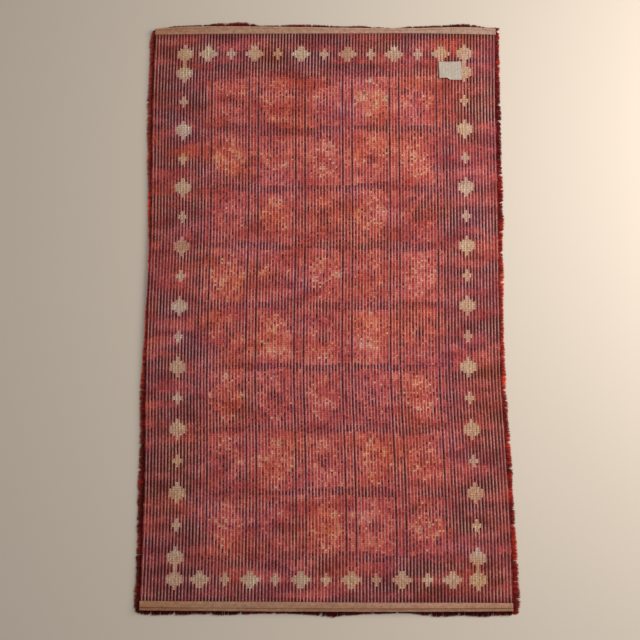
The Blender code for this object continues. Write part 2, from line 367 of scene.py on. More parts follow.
def make_tubes(name, paths, radii, roots, tips, material, sides=3):
    """Many tapered tubes in one mesh. Paths is [tube, ring, xyz] and radii [tube, ring].

    The colours run from roots to tips, and both are None where the material has its own colour.
    """
    count, rings, _ = paths.shape
    heading = np.gradient(paths, axis=1)
    heading /= np.linalg.norm(heading, axis=2, keepdims=True)
    side = np.cross(heading, (0.0, 0.0, 1.0))
    side /= np.maximum(np.linalg.norm(side, axis=2, keepdims=True), 1e-9)
    rise = np.cross(side, heading)
    angles = np.arange(sides) * 2 * math.pi / sides + math.pi / 2
    rings_out = [paths[:, :-1] + radii[:, :-1, None] * (math.cos(a) * side + math.sin(a) * rise)[:, :-1]
                 for a in angles]
    body = np.stack(rings_out, axis=2).reshape(count, -1, 3)
    points = np.concatenate([body, paths[:, -1:]], axis=1).reshape(-1, 3)
    points[:, 2] = np.maximum(points[:, 2], STRAND_FLOOR)
    point_colours = None
    if roots is not None:
        share = np.append(np.repeat(np.linspace(0, 1, rings)[:-1], sides), 1.0)[None, :, None]
        point_colours = (roots[:, None, :] * (1 - share) + tips[:, None, :] * share).reshape(-1, 3)
    return make_piece(name, points, tube_faces(count, rings - 1, sides), material, point_colours)


# The CAD model's own shape

def cad_points(node):
    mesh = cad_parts[node].data
    flat = np.empty(len(mesh.vertices) * 3)
    mesh.vertices.foreach_get("co", flat)
    return np.unique(flat.reshape(-1, 3).round(6), axis=0)


def read_grooves():
    """Grooves between the ribs of the CAD back, as an array [section, groove, xyz]."""
    points = cad_points("woven_rug")
    points = points[points[:, 2] > BACK_FLOOR]
    half = np.abs(points[:, 1]).max()
    section = np.rint((points[:, 1] / half + 1) / 2 * (SECTIONS - 1)).astype(int)
    rows = [points[section == k] for k in range(SECTIONS)]
    return np.array([row[np.argsort(row[:, 0])][::2] for row in rows])


def cubic(rows, places):
    """An array's rows read at fractional places, on smooth curves through them."""
    slopes = np.gradient(rows, axis=0)
    k = np.clip(np.floor(places).astype(int), 0, len(rows) - 2)
    t = (np.asarray(places) - k).reshape(-1, *[1] * (rows.ndim - 1))
    from_low = rows[k] * (1 + 2 * t) + slopes[k] * t
    from_high = rows[k + 1] * (3 - 2 * t) - slopes[k + 1] * (1 - t)
    return from_low * (1 - t) ** 2 + from_high * t**2


def smooth_grid(grid, along, across):
    """A grid of values read at fractional rows and columns, on a smooth surface through them."""
    return cubic(cubic(grid, along).T.copy(), across).T


def ripple(rng, count, places):
    """A smooth curve through count random values from 0 to 1, read at fractional places."""
    return cubic(rng.random(count), places)


GROOVES = read_grooves()
RIBS = GROOVES.shape[1] - 1


def back(along, across):
    """Points at the level of the grooves. along is 0 at the foot and 1 at the head, across is in ribs."""
    rows = cubic(GROOVES, np.asarray(along, float) * (SECTIONS - 1))
    across = np.asarray(across, float)
    k = np.clip(np.floor(across).astype(int), 0, RIBS - 1)
    t = (across - k)[None, :, None]
    return rows[:, k] * (1 - t) + rows[:, k + 1] * t


# Design: a red field checked with plum lines, a lozenge in each check, and a ring of cream lozenges

FIELD_SIDE = 17.5  # in ribs from the side
FIELD_END = 24  # in rows from the end
CHECK_RIBS = 15
CHECK_ROWS = 30
RING_RIB = 10
RING_ROW = 14
TAPE_ROWS = 4
# Half widths in ribs and half lengths in rows
LOZENGE = (7, 14)
HEART = (2.4, 4.8)
CREAM_LOZENGE = (3, 5)
SMALL_LOZENGE = 0.6
LOZENGE_RIM = (0.92, 1.08)  # where a lozenge's dark rim starts and ends
# Shares of the field's knots that stand out
BRIGHT_FLECKS = 0.18
DARK_FLECKS = 0.10
SPECKS = 0.06
# Tones run from 0 for plum to 1 for cream
FIELD_TONE = 0.535
BORDER_TONE = 0.30
CREAM_TONE = 1.0
# Darkest tone of a line's knots, and how far above it they go
STRIPE_TONES = (0.14, 0.26)
BAR_TONES = (0.16, 0.30)
# How much a change of hue moves red, green and blue
HUE_SWING = (0.10, 0.30, 0.60)


def cloud(rng, cells_along, cells_across):
    """Smooth random values from about 0 to 1 over the whole design."""
    grid = rng.random((cells_along + 1, cells_across + 1))
    return smooth_grid(grid, np.linspace(0, cells_along, ROWS), np.linspace(0, cells_across, RIBS + 1))


def runs(rng, mean_run):
    """Random values from -0.5 to 0.5 that hold for short runs down each groove."""
    turn = np.cumsum(rng.random((ROWS, RIBS + 1)) < 1 / mean_run, axis=0)
    values = rng.random((ROWS + 1, RIBS + 1)) - 0.5
    return values[turn, np.arange(RIBS + 1)[None, :]]


def off_centre(places, start, pitch):
    """Distance of each place from the middle of its interval, and the interval's number."""
    number = np.floor((places - start) / pitch)
    return places - (start + (number + 0.5) * pitch), number.astype(int)


def diamond(across, along, half_sizes, scale=1):
    """0 in the middle of a lozenge and 1 on its edge."""
    return np.abs(across) / (half_sizes[0] * scale) + np.abs(along) / (half_sizes[1] * scale)


def mottled_tones(rng, in_field):
    """The ground's tones: slow changes, patches, and short runs of one yarn down a groove."""
    tone = np.where(in_field, FIELD_TONE, BORDER_TONE)
    tone += np.where(in_field, 0.17, 0.24) * (cloud(rng, 26, 5) - 0.5) + 0.10 * (cloud(rng, 8, 4) - 0.5)
    patches = cloud(rng, 84, 14) - 0.5
    tone += np.where(in_field, 0.18 * patches, 0.13 * np.tanh(7 * patches))
    tone += 0.18 * runs(rng, 2.5) + 0.12 * runs(rng, 1.0)
    return tone


def add_checks(rng, tone, row, rib, in_field):
    """A flecked lozenge in each check, bright or dark-hearted by turns, and a tone for each check."""
    across, column = off_centre(rib, FIELD_SIDE, CHECK_RIBS)
    along, line = off_centre(row, FIELD_END, CHECK_ROWS)
    outward = diamond(across, along, LOZENGE)
    bright = (column + line) % 2 == 0
    flecks = rng.random(row.shape)
    inside = in_field & (outward < LOZENGE_RIM[0])
    tone[inside & bright] += 0.06
    tone[inside & bright & (flecks < BRIGHT_FLECKS)] += 0.24
    tone[inside & ~bright & (flecks < DARK_FLECKS)] += 0.22
    tone[in_field & (outward >= LOZENGE_RIM[0]) & (outward < LOZENGE_RIM[1])] -= 0.10
    tone[in_field & ~bright & (diamond(across, along, HEART) < 1.0)] -= 0.16
    tone[in_field & (flecks > 1 - SPECKS)] -= 0.24
    checks = rng.random((ROWS // CHECK_ROWS + 3, RIBS // CHECK_RIBS + 4)) - 0.5
    tone[in_field] += 0.09 * checks[line + 1, column + 2][in_field]


def add_lines(rng, tone, row, rib, from_side, from_end):
    """Straight plum stripes between the columns of checks, and wavy bars between their rows."""
    across, _ = off_centre(rib, FIELD_SIDE, CHECK_RIBS)
    along, _ = off_centre(row, FIELD_END, CHECK_ROWS)
    to_line = CHECK_RIBS / 2 - np.abs(across)
    stripe = (to_line == 1.5) & (from_end > RING_ROW + 6) & (from_side > FIELD_SIDE - 3)
    tone[stripe] = STRIPE_TONES[0] + STRIPE_TONES[1] * rng.random(row.shape)[stripe]
    to_bar = CHECK_ROWS / 2 - np.abs(along + 2.4 * (cloud(rng, 9, 12) - 0.5))
    bar = (to_bar < 0.8 + 1.8 * cloud(rng, 9, 16)) & (from_side > RING_RIB + 4) & (from_end > FIELD_END - 2)
    tone[bar] = BAR_TONES[0] + BAR_TONES[1] * rng.random(row.shape)[bar]


def cream_ring(row, rib, from_side, from_end):
    """Where the ring's cream lozenges lie, large and small by turns, with one in each corner."""
    beside, number = off_centre(row, FIELD_END - CHECK_ROWS / 4, CHECK_ROWS / 2)
    scale = np.where(number % 2 == 0, 1.0, SMALL_LOZENGE)
    on_side = diamond(from_side - RING_RIB, beside, CREAM_LOZENGE, scale) < 1
    beside, number = off_centre(rib, FIELD_SIDE - CHECK_RIBS / 4, CHECK_RIBS / 2)
    scale = np.where(number % 2 == 0, 1.0, SMALL_LOZENGE)
    on_end = diamond(beside, from_end - RING_ROW, CREAM_LOZENGE, scale) < 1
    corner = diamond(from_side - RING_RIB, from_end - RING_ROW, CREAM_LOZENGE) < 1
    return (on_side & (from_end > FIELD_END - 5)) | (on_end & (from_side > FIELD_SIDE - 3)) | corner


def make_design():
    """Yarn colour of every knot, as an array [row, groove, rgb]."""
    rng = np.random.default_rng(3)
    row, rib = np.meshgrid(np.arange(ROWS) + 0.5, np.arange(RIBS + 1.0), indexing="ij")
    from_side = np.minimum(rib, RIBS - rib)
    from_end = np.minimum(row, ROWS - row)
    in_field = (from_side > FIELD_SIDE) & (from_end > FIELD_END)
    tone = mottled_tones(rng, in_field)
    add_checks(rng, tone, row, rib, in_field)
    add_lines(rng, tone, row, rib, from_side, from_end)
    tone[cream_ring(row, rib, from_side, from_end)] = CREAM_TONE
    # Rows next to the tapes are darker: partly the design's dark end rows, partly painted shadow of the
    # tape's edge
    tone[from_end < TAPE_ROWS + 2] -= 0.16
    hue = cloud(rng, 40, 12) - 0.5 + 0.5 * runs(rng, 2.0)
    return PALETTE[np.digitize(tone, TONE_STEPS)] * (1 + hue[:, :, None] * HUE_SWING)


DESIGN = make_design()


# Woven rug

def add_ground(material):
    """The woven ground as a closed sheet, under the ribs and knots."""
    level = back(np.linspace(0, 1, GROUND_ROWS), np.linspace(0, RIBS, GROUND_COLUMNS)).reshape(-1, 3)
    points = np.concatenate([level + (0, 0, height) for height in (GROUND_TOP, GROUND_BOTTOM)])
    faces = closed_sheet_faces(GROUND_ROWS, GROUND_COLUMNS)
    colours = np.tile(PALETTE[1] * 0.7 + RIB_THREAD * 0.2, (len(points), 1))
    return make_piece("ground_cloth", points, faces, material, colours)


# Points across a rib: share of the pitch from its middle, height
RIB_PROFILE = ((-0.24, -0.0007), (-0.14, 0.0008), (0.0, RIB_HEIGHT), (0.14, 0.0008), (0.24, -0.0007))
RIB_WANDER = 0.10  # share of the pitch
RIB_PRESS = 0.00018
THREAD_SHARE = 0.52  # of a rib's colour, the rest being the yarn's beside it
CREAM_FROM = 0.16  # green of the yarn beside a rib at which its thread starts to turn cream
CREAM_SPAN = 0.14
# The outermost ribs are darkened: painted shade where the weave turns down at its edge
EDGE_RIB_PAINTED_SHADE = 0.84
# Ribs beside the tapes are darkened: painted shadow of the tape's edge
TAPE_PAINTED_SHADOW = 0.84


def add_ribs(material):
    """The pale warp ribs, each pressed a little at every pick and tinted by the yarn beside it."""
    rng = np.random.default_rng(21)
    brushed = ((cloud(rng, 84, 20) - 0.5)[:, :, None] * (0.30, 0.80, 0.80)
               + (cloud(rng, 30, 12) - 0.5)[:, :, None] * (-0.10, 0.00, 0.45))
    along = np.linspace(0, 1, RIB_ROWS)
    rows = np.clip((along * ROWS).astype(int), 0, ROWS - 1)
    tint = DESIGN[rows]
    from_end = np.minimum(along, 1 - along) * ROWS
    # Painted shadow along the tapes, darkest in the rows next to them
    painted_tape_shadow = TAPE_PAINTED_SHADOW + (1 - TAPE_PAINTED_SHADOW) * np.clip(from_end - TAPE_ROWS - 1, 0, 1)
    width = len(RIB_PROFILE)
    points = []
    faces = []
    colours = []
    for rib in range(RIBS):
        wander = RIB_WANDER * (ripple(rng, 42, along * 40.99) - 0.5)
        slack = 0.90 + 0.20 * ripple(rng, 62, along * 60.99)
        press = RIB_PRESS * rng.random(RIB_ROWS)
        strip = back(along, np.array([rib + 0.5 + offset for offset, _ in RIB_PROFILE]))
        middle = strip[:, width // 2, 0][:, None].copy()
        strip[:, :, 0] = middle + (strip[:, :, 0] - middle) * slack[:, None] + wander[:, None] * RIB_PITCH
        strip[:, :, 2] += [height for _, height in RIB_PROFILE]
        strip[:, 1:-1, 2] -= press[:, None]
        beside = (tint[:, rib] + tint[:, rib + 1]) / 2
        pale = np.clip((beside[:, 1:2] - CREAM_FROM) / CREAM_SPAN, 0, 1)
        thread = (RIB_THREAD + pale * (CREAM_THREAD - RIB_THREAD)) * (0.90 + 0.20 * rng.random())
        # Painted shade on the outermost ribs
        if rib in (0, RIBS - 1):
            thread = thread * EDGE_RIB_PAINTED_SHADE
        colour = thread * THREAD_SHARE + beside * (1 - THREAD_SHARE)
        colour = colour * (1 + brushed[rows, rib]) * painted_tape_shadow[:, None]
        faces.append(grid_quads(RIB_ROWS, width, rib * RIB_ROWS * width))
        points.append(strip.reshape(-1, 3))
        colours.append(np.repeat(colour, width, axis=0))
    return make_piece("warp_ribs", np.concatenate(points), np.concatenate(faces).tolist(), material,
                      np.concatenate(colours))


# Points across a knot, in shares of the pitch from the groove
KNOT_POINTS = np.array([-0.34, -0.17, 0.17, 0.34])
KNOT_SIDE_DROP = 0.0009
BETWEEN_KNOTS = -0.00045
KNOT_CREST = 0.0006  # most height of a knot's middle
KNOT_SHIFT = 0.0005
# Painted shade at each knot's ends, where it meets the next, and painted highlight on its crown
KNOT_END_PAINTED_SHADE = 0.76
KNOT_CROWN_PAINTED_HIGHLIGHT = 1.22


def add_knots(name, first, last, material):
    """Backs of the pile's knots, a bead of yarn for each, in the grooves from first to last, with painted
    shade between the knots and a painted highlight on each crown.
    """
    rng = np.random.default_rng(100 + first)
    length = 2 * ROWS + 1
    width = len(KNOT_POINTS)
    along = np.linspace(0, 1, length)
    end, crown = KNOT_END_PAINTED_SHADE, KNOT_CROWN_PAINTED_HIGHLIGHT
    knot_painted_shading = np.array([end, end, crown, crown] * 3 + [crown, crown, end, end] * 3)
    points = []
    faces = []
    colours = []
    for groove in range(first, last):
        strip = back(along, groove + KNOT_POINTS)
        height = np.full(length, BETWEEN_KNOTS)
        height[1::2] = rng.uniform(0, KNOT_CREST, ROWS)
        strip[:, 1:3, 2] += height[:, None]
        strip[:, [0, 3], 2] -= KNOT_SIDE_DROP
        strip[1::2, 1:3, 0] += rng.uniform(-KNOT_SHIFT, KNOT_SHIFT, ROWS)[:, None]
        faces.append(grid_quads(length, width, (groove - first) * length * width))
        points.append(strip.reshape(-1, 3))
        shade = rng.uniform(0.88, 1.12, (ROWS, 1)) * knot_painted_shading
        colours.append((DESIGN[:, groove, None, :] * shade[:, :, None]).reshape(-1, 3))
    return make_piece(name, np.concatenate(points), np.concatenate(faces).tolist(), material,
                      corner_colours=np.concatenate(colours))


def add_selvedge(name, across, outward, material):
    """Overcast edge of the weave: a cord wrapped in yarn, thinner after each turn of it, with painted shade
    in that hollow and painted light on each turn.
    """
    rng = np.random.default_rng(40 + outward)
    along = np.linspace(0, 1, CORD_RINGS)
    centre = back(along, np.array([float(across)]))[:, 0]
    centre[:, 0] -= outward * CORD_INSET
    centre[:, 2] -= CORD_DROP
    hollow = np.arange(CORD_RINGS) % 2
    radii = CORD_RADIUS * (1.10 - 0.12 * hollow)
    angles = np.arange(CORD_SIDES) * 2 * math.pi / CORD_SIDES
    circle = np.stack([np.cos(angles), 0 * angles, np.sin(angles)], axis=1)
    points = centre[:, None, :] + radii[:, None, None] * circle[None, :, :]
    at, after, next_after, next_at = sleeve_corners(CORD_RINGS, CORD_SIDES)
    faces = np.column_stack([at, next_at, next_after, after]).tolist()
    last = (CORD_RINGS - 1) * CORD_SIDES
    faces += [list(range(CORD_SIDES)), [last + side for side in reversed(range(CORD_SIDES))]]
    turn = np.clip((along * ROWS).astype(int), 0, ROWS - 1)
    shades = DESIGN[:, across] * rng.uniform(0.80, 1.10, (ROWS, 1))
    # Painted shade in the hollow after each turn, and painted light on the turns
    shades = shades[turn] * (1.20 - 0.60 * hollow)[:, None]
    return make_piece(name, points.reshape(-1, 3), faces, material, np.repeat(shades, CORD_SIDES, axis=0))


# Pressed pile

# The slab's side from the floor up: share of the bulge, height
FLANK = ((0.70, 0.0004), (1.00, 0.0022), (0.95, 0.0052), (0.72, 0.0088), (0.36, 0.0120))
# How far the slab bulges, as a share of the reach
BULGE = {"left": 0.28, "right": 0.30, "foot": 0.16, "head": 0.14}
# How far the pile reaches past the weave's sides and the tapes' outer edges.
# The shares of the length run from foot to head, or from left to right.
REACH = {
    "left": ((0.0, 0.0200), (0.05, 0.0198), (0.12, 0.0213), (0.19, 0.0204), (0.26, 0.0230), (0.33, 0.0222),
             (0.40, 0.0140), (0.46, 0.0108), (0.53, 0.0050), (0.60, 0.0070), (0.67, 0.0123), (0.74, 0.0151),
             (0.81, 0.0197), (0.95, 0.0200), (1.0, 0.0170)),
    "right": ((0.0, 0.0265), (0.05, 0.0257), (0.12, 0.0184), (0.19, 0.0170), (0.26, 0.0182), (0.33, 0.0172),
              (0.40, 0.0175), (0.46, 0.0148), (0.53, 0.0172), (0.62, 0.0190), (0.67, 0.0206), (0.74, 0.0182),
              (0.81, 0.0170), (0.88, 0.0196), (0.95, 0.0158), (1.0, 0.0165)),
    "foot": ((0.0, 0.0170), (0.12, 0.0150), (0.25, 0.0160), (0.33, 0.0100), (0.45, 0.0110), (0.53, 0.0180),
             (0.60, 0.0110), (0.72, 0.0060), (0.80, 0.0180), (0.96, 0.0190), (1.0, 0.0160)),
    "head": ((0.0, 0.0020), (0.05, 0.0080), (0.15, 0.0120), (0.20, 0.0190), (0.28, 0.0190), (0.31, 0.0080),
             (0.38, 0.0100), (0.43, 0.0170), (0.50, 0.0130), (0.56, 0.0090), (0.61, 0.0120), (0.70, 0.0050),
             (0.76, 0.0110), (0.84, 0.0150), (0.93, 0.0150), (0.97, 0.0090), (1.0, 0.0040)),
}
# How far the head tape's outer edge lies off the CAD tape's, at shares of the width
HEAD_TAPE_SHIFT = ((0.0, 0.0055), (0.25, 0.0), (0.93, 0.0), (1.0, -0.0070))


def at_shares(table, places):
    """A table's values read at places from 0 to 1."""
    return np.interp(places, *np.array(table).T)


def read_tape(node):
    """Stations of a CAD tape, as an array [station, (x, inner y, outer y, base z)]."""
    points = cad_points(node)
    stations = []
    for x in np.unique(points[:, 0]):
        ring = points[points[:, 0] == x]
        inner = ring[np.argmin(np.abs(ring[:, 1]))][1]
        outer = ring[np.argmax(np.abs(ring[:, 1]))][1]
        base = ring[ring[:, 1] == inner][:, 2].min()
        stations.append((x, inner, outer, base))
    stations = np.array(stations)
    if node == "head_tape":
        shares = (stations[:, 0] - stations[0, 0]) / np.ptp(stations[:, 0])
        stations[:, 2] += at_shares(HEAD_TAPE_SHIFT, shares)
    return stations


def pressed_tufts(rng, along, across):
    """The underside's points: tufts pressed flat on the floor, and a level rim."""
    rows, columns = len(along), len(across)
    plan = back(along, across)
    coarse = rng.random((rows // 4 + 2, columns // 4 + 2))
    lumps = smooth_grid(coarse, np.linspace(0, rows // 4, rows), np.linspace(0, columns // 4, columns))
    tufts = np.clip(lumps - 0.42, 0, 1) + 0.35 * np.clip(rng.random((rows, columns)) - 0.35, 0, 1)
    plan[:, :, 2] = TUFT_FLOOR + TUFT_DEPTH * np.clip(tufts, 0, 1)
    jitter = rng.normal(0, TUFT_JITTER, (rows, columns, 2))
    for line in (0, -1):
        plan[line, :, 2] = TUFT_RIM
        plan[:, line, 2] = TUFT_RIM
        jitter[line] = 0
        jitter[:, line] = 0
    plan[:, :, :2] += jitter
    return plan


def slab_bulge(along, across, rim):
    """How far each point of the rim bulges out in x and y."""
    push = np.zeros((len(along), len(across), 2))
    push[:, 0, 0] -= BULGE["left"] * at_shares(REACH["left"], along)
    push[:, -1, 0] += BULGE["right"] * at_shares(REACH["right"], along)
    push[0, :, 1] -= BULGE["foot"] * at_shares(REACH["foot"], across / RIBS)
    push[-1, :, 1] += BULGE["head"] * at_shares(REACH["head"], across / RIBS)
    return push.reshape(-1, 2)[rim]


def lid_faces(ring, rows, columns):
    """Faces inside a rim of points: a strip from side to side for each row, and one face at each end."""
    right = ring[columns - 1:columns + rows - 1]
    left = ring[:1] + ring[:2 * columns + rows - 4:-1]
    faces = [[left[k], right[k], right[k + 1], left[k + 1]] for k in range(1, rows - 2)]
    faces.append(ring[:columns] + [right[1], left[1]])
    faces.append(ring[columns + rows - 2:2 * columns + rows - 2] + [left[-2], right[-2]])
    return faces


def add_pile(material):
    """The pile as a closed slab: tufts pressed flat on the floor, bulging sides and a plain top."""
    rng = np.random.default_rng(5)
    rows, columns = TUFT_ROWS, TUFT_COLUMNS
    along = np.linspace(0.0, 1.0, rows)
    across = np.linspace(0.0, RIBS, columns)
    plan = pressed_tufts(rng, along, across).reshape(-1, 3)
    rim = grid_rim(rows, columns)
    push = slab_bulge(along, across, rim) * rng.uniform(0.75, 1.1, (len(rim), 1))
    rings = []
    for share, height in FLANK:
        ring = plan[rim]
        ring[:, :2] += push * share
        ring[:, 2] = height + rng.uniform(-0.0002, 0.0006, len(rim))
        rings.append(ring)
    high = plan[rim]
    high[:, 2] = PILE_TOP
    rings.append(high)

    faces = grid_quads(rows, columns)[:, ::-1].tolist()
    lower = rim
    for level in range(len(rings)):
        upper = rows * columns + level * len(rim) + np.arange(len(rim))
        faces += np.column_stack([lower, np.roll(lower, -1), np.roll(upper, -1), upper]).tolist()
        lower = upper
    faces += lid_faces(upper.tolist(), rows, columns)

    row = np.clip((along * ROWS).astype(int), 0, ROWS - 1)
    groove = np.clip(np.rint(across).astype(int), 0, RIBS)
    shade = 0.75 + 0.35 * rng.random((rows, columns, 1))
    under = (DESIGN[row][:, groove] * shade).reshape(-1, 3)
    # The slab's sides are darkened: painted shade under the rim of strands
    side_yarn_painted_shade = PILE_PALETTE[rng.choice([0, 0, 1], len(rim))] * rng.uniform(0.45, 0.85, (len(rim), 1))
    colours = np.concatenate([under] + [side_yarn_painted_shade] * len(rings))
    return make_piece("pressed_pile", np.concatenate([plan, *rings]), faces, material, colours)


# Rim of pile strands

RIM_SIDES = (
    # side, direction along the edge, outward, least and most depth of the roots, tip height
    ("left", (0, 1, 0), (-1, 0, 0), 0.002, 0.006, 0.0014),
    ("right", (0, 1, 0), (1, 0, 0), 0.002, 0.006, 0.0014),
    ("foot", (1, 0, 0), (0, -1, 0), 0.006, 0.011, 0.0025),
    ("head", (1, 0, 0), (0, 1, 0), 0.006, 0.011, 0.0050),
)
# How red the pile is, from 0 for plum to 1 for rust, at shares of the length
WARMTH = {
    "left": ((0.0, 0.16), (0.25, 0.26), (0.42, 0.46), (0.62, 0.46), (0.80, 0.26), (1.0, 0.20)),
    "right": ((0.0, 0.10), (0.03, 0.16), (0.07, 0.40), (0.30, 0.40), (0.42, 0.58), (0.56, 0.64), (0.68, 0.38),
              (0.80, 0.14), (1.0, 0.24)),
    "foot": ((0.0, 0.06), (0.3, 0.16), (0.7, 0.18), (1.0, 0.08)),
    "head": ((0.0, 0.20), (0.3, 0.32), (0.7, 0.28), (1.0, 0.18)),
}
# Painted light on the tips: how much lighter and browner they are, most on the left side, which lies in
# shade, at shares of the length
SIDE_TIP_PAINTED_LIGHT = {
    "left": ((0.0, 0.6), (0.26, 0.8), (0.40, 1.5), (0.55, 2.8), (0.69, 2.7), (0.80, 2.1), (1.0, 2.0)),
    "right": ((0.0, 0.30), (0.25, 0.36), (0.40, 0.68), (0.55, 0.48), (0.68, 0.16), (1.0, 0.26)),
    "foot": ((0.0, 0.06), (1.0, 0.10)),
    "head": ((0.0, 0.20), (1.0, 0.20)),
}
STRAND_PITCH = 0.00053
STRAND_PLACES = np.array([0.0, 0.32, 0.64, 0.92, 1.0])
STRAND_RADIUS = 0.0013
STRAND_TAPER = 1 - 0.50 * STRAND_PLACES ** 1.5
STRAND_TOP = 0.0136  # height of the highest roots
STRAND_DEPTH = 0.0110  # how far below it the lowest ones start
STRAND_RUN = 0.85  # below 1, a strand's rings lie closer to its tip
EXTRA_REACH = 0.0026
# Roots darkened: painted shade where the strands come out from under the weave's edge
ROOT_PAINTED_SHADE = 0.42
LOCK_PITCH = 0.010
# Notches in the outline: pitch, half width, and the share of the reach left there
NOTCH_PITCH = 0.110
NOTCH_WIDTH = 0.007
NOTCH_SHARE = {"left": 0.55, "right": 0.25, "foot": 0.25, "head": 0.25}
CORNER_STRANDS = 110
CORNER_INSET = 0.003
CORNER_TIP = 0.0015
CORNER_WARMTH = 0.18
# Painted light on the corner strands' tips
CORNER_TIP_PAINTED_LIGHT = 0.15


def edge_points(side, places):
    """Points on a side of the weave, or on a tape's outer edge, at shares of its length."""
    if side in ("left", "right"):
        return back(places, np.array([0.0 if side == "left" else float(RIBS)]))[:, 0]
    tape = read_tape(side + "_tape")
    stations = cubic(tape, places * (len(tape) - 1))
    return stations[:, [0, 2, 3]]


def wave(rng, places, length, period):
    """Smooth random values from 0 to 1 along an edge."""
    cells = max(3, int(length / period))
    return ripple(rng, cells + 2, places * cells)


def rim_strands(rng, side, along, outward, shallow, deep, tip):
    """Paths [strand, ring, xyz] along one edge, and each strand's place on it from 0 to 1."""
    ends = edge_points(side, np.array([0.0, 1.0]))
    length = np.linalg.norm(ends[1] - ends[0])
    number = int(length / STRAND_PITCH)
    places = (np.arange(number) + rng.random(number)) / number
    origin = edge_points(side, places)

    locks = int(length / LOCK_PITCH)
    lock = np.clip((places * locks).astype(int), 0, locks - 1)
    centre = (np.arange(locks) + rng.uniform(0.25, 0.75, locks)) / locks
    gather = rng.uniform(0.00, 0.14, locks)[lock]
    lean = (0.6 * (wave(rng, places, length, 0.10) - 0.5) + rng.normal(0, 0.06, locks)[lock]
            + rng.normal(0, 0.12, number))
    reach = at_shares(REACH[side], places) * (1.00 + 0.36 * wave(rng, places, length, 0.05)) + EXTRA_REACH
    reach *= rng.uniform(0.96, 1.03, locks)[lock] * rng.uniform(0.74, 1.04, number)
    count = int(length / NOTCH_PITCH)
    notches = (np.arange(count) + rng.uniform(0.1, 0.9, count)) / count
    gap = np.abs(places[:, None] - notches[None, :]).min(axis=1) * length
    reach *= np.clip(NOTCH_SHARE[side] + gap / NOTCH_WIDTH, 0, 1)

    t = STRAND_PLACES[None, :]
    inset = rng.uniform(shallow, deep, number)[:, None]
    height = (STRAND_TOP - STRAND_DEPTH * rng.random(number) ** 1.6)[:, None]
    foot = (tip + rng.uniform(-0.0006, 0.0030, number))[:, None]
    droop = rng.uniform(0.6, 1.7, number)[:, None]
    bow = rng.normal(0, 0.0011, number)[:, None]
    pull = ((centre[lock] - places) * length * gather)[:, None]
    reach = reach[:, None]
    out = -inset + (reach + inset) * t**STRAND_RUN
    sideways = pull * t**1.3 + lean[:, None] * reach * t + bow * np.sin(math.pi * t)
    paths = origin[:, None, :] + out[..., None] * outward + sideways[..., None] * along
    paths[..., 2] = foot + (height - foot) * (1 - t ** droop)
    return paths, places, length


def rim_colours(rng, places, length, warmth):
    """A yarn colour for each strand, lock by lock, with painted shade between the locks and a painted
    highlight in their middles.
    """
    locks = max(2, int(length / LOCK_PITCH))
    at = places * locks
    lock = np.clip(at.astype(int), 0, locks - 1)
    tone = warmth + 0.50 * (wave(rng, places, length, 0.07) - 0.5) + rng.normal(0, 0.13, locks)[lock]
    tone += rng.normal(0, 0.06, len(places))
    shade = rng.uniform(0.70, 1.20, locks)[lock] * rng.uniform(0.8, 1.2, len(places))
    # Painted shade between the locks and painted highlight in their middles
    shade *= 1.15 - 0.9 * np.abs(at - lock - 0.5)
    return PILE_PALETTE[np.digitize(tone, PILE_STEPS)] * shade[:, None]


def side_strands(rng, side, *shape):
    """Paths, yarn colours and tip colours of the strands along one side."""
    paths, places, length = rim_strands(rng, side, *shape)
    warmth = at_shares(WARMTH[side], places)
    tip_painted_light = at_shares(SIDE_TIP_PAINTED_LIGHT[side], places)[:, None]
    colours = rim_colours(rng, places, length, warmth)
    # Painted light on the tips, strongest where the side lies in shade
    tips = colours * (0.95 + tip_painted_light) + TIP_PAINTED_LIGHT * tip_painted_light * rng.uniform(0.3, 1.7, (len(places), 1))
    return paths, colours, tips


def corner_strands(rng, side, end):
    """Paths, yarn colours and tip colours of the strands that fan out from one corner."""
    across, x_out = (0.0, -1) if side == "left" else (1.0, 1)
    along, y_out = (0.0, -1) if end == "foot" else (1.0, 1)
    corner = back(np.array([along]), np.array([across * RIBS]))[0, 0]
    angles = rng.uniform(0, math.pi / 2, (CORNER_STRANDS, 1))
    outward = np.stack([x_out * np.cos(angles), y_out * np.sin(angles), 0 * angles], axis=2)
    reach = at_shares(REACH[side], along) * np.cos(angles) + at_shares(REACH[end], across) * np.sin(angles)
    reach *= rng.uniform(0.6, 1.0, (CORNER_STRANDS, 1))
    t = STRAND_PLACES[None, :]
    height = rng.uniform(0.002, 0.012, (CORNER_STRANDS, 1))
    paths = corner + ((reach + CORNER_INSET) * t**STRAND_RUN - CORNER_INSET)[..., None] * outward
    paths[..., 2] = CORNER_TIP + (height - CORNER_TIP) * (1 - t) ** 1.8
    colours = rim_colours(rng, angles[:, 0] / 2, 0.05, CORNER_WARMTH)
    # The tips get a little painted light
    return paths, colours, colours + TIP_PAINTED_LIGHT * CORNER_TIP_PAINTED_LIGHT


def add_rim(material):
    """Strands of pile that stand out round the weave and lie on the floor, as two pieces."""
    rng = np.random.default_rng(77)
    left, right, foot, head = (side_strands(rng, *side) for side in RIM_SIDES)
    corners = [corner_strands(rng, side, end) for side in ("left", "right") for end in ("foot", "head")]
    halves = (("rim_left_foot", (left, foot, *corners[:2])), ("rim_right_head", (right, head, *corners[2:])))
    pieces = []
    for name, parts in halves:
        paths, colours, tips = (np.concatenate(part) for part in zip(*parts))
        radii = STRAND_RADIUS * rng.uniform(0.7, 1.2, (len(paths), 1)) * STRAND_TAPER[None, :]
        # Painted shade at the roots, running to the tips' colours
        pieces.append(make_tubes(name, paths, radii, colours * ROOT_PAINTED_SHADE, tips, material))
    return pieces


# End tapes

def read_tints(table, places):
    """A table's tints read at places from 0 to 1, as an array [place, rgb]."""
    table = np.array(table)
    return np.stack([np.interp(places, table[:, 0], table[:, k]) for k in (1, 2, 3)], axis=1)


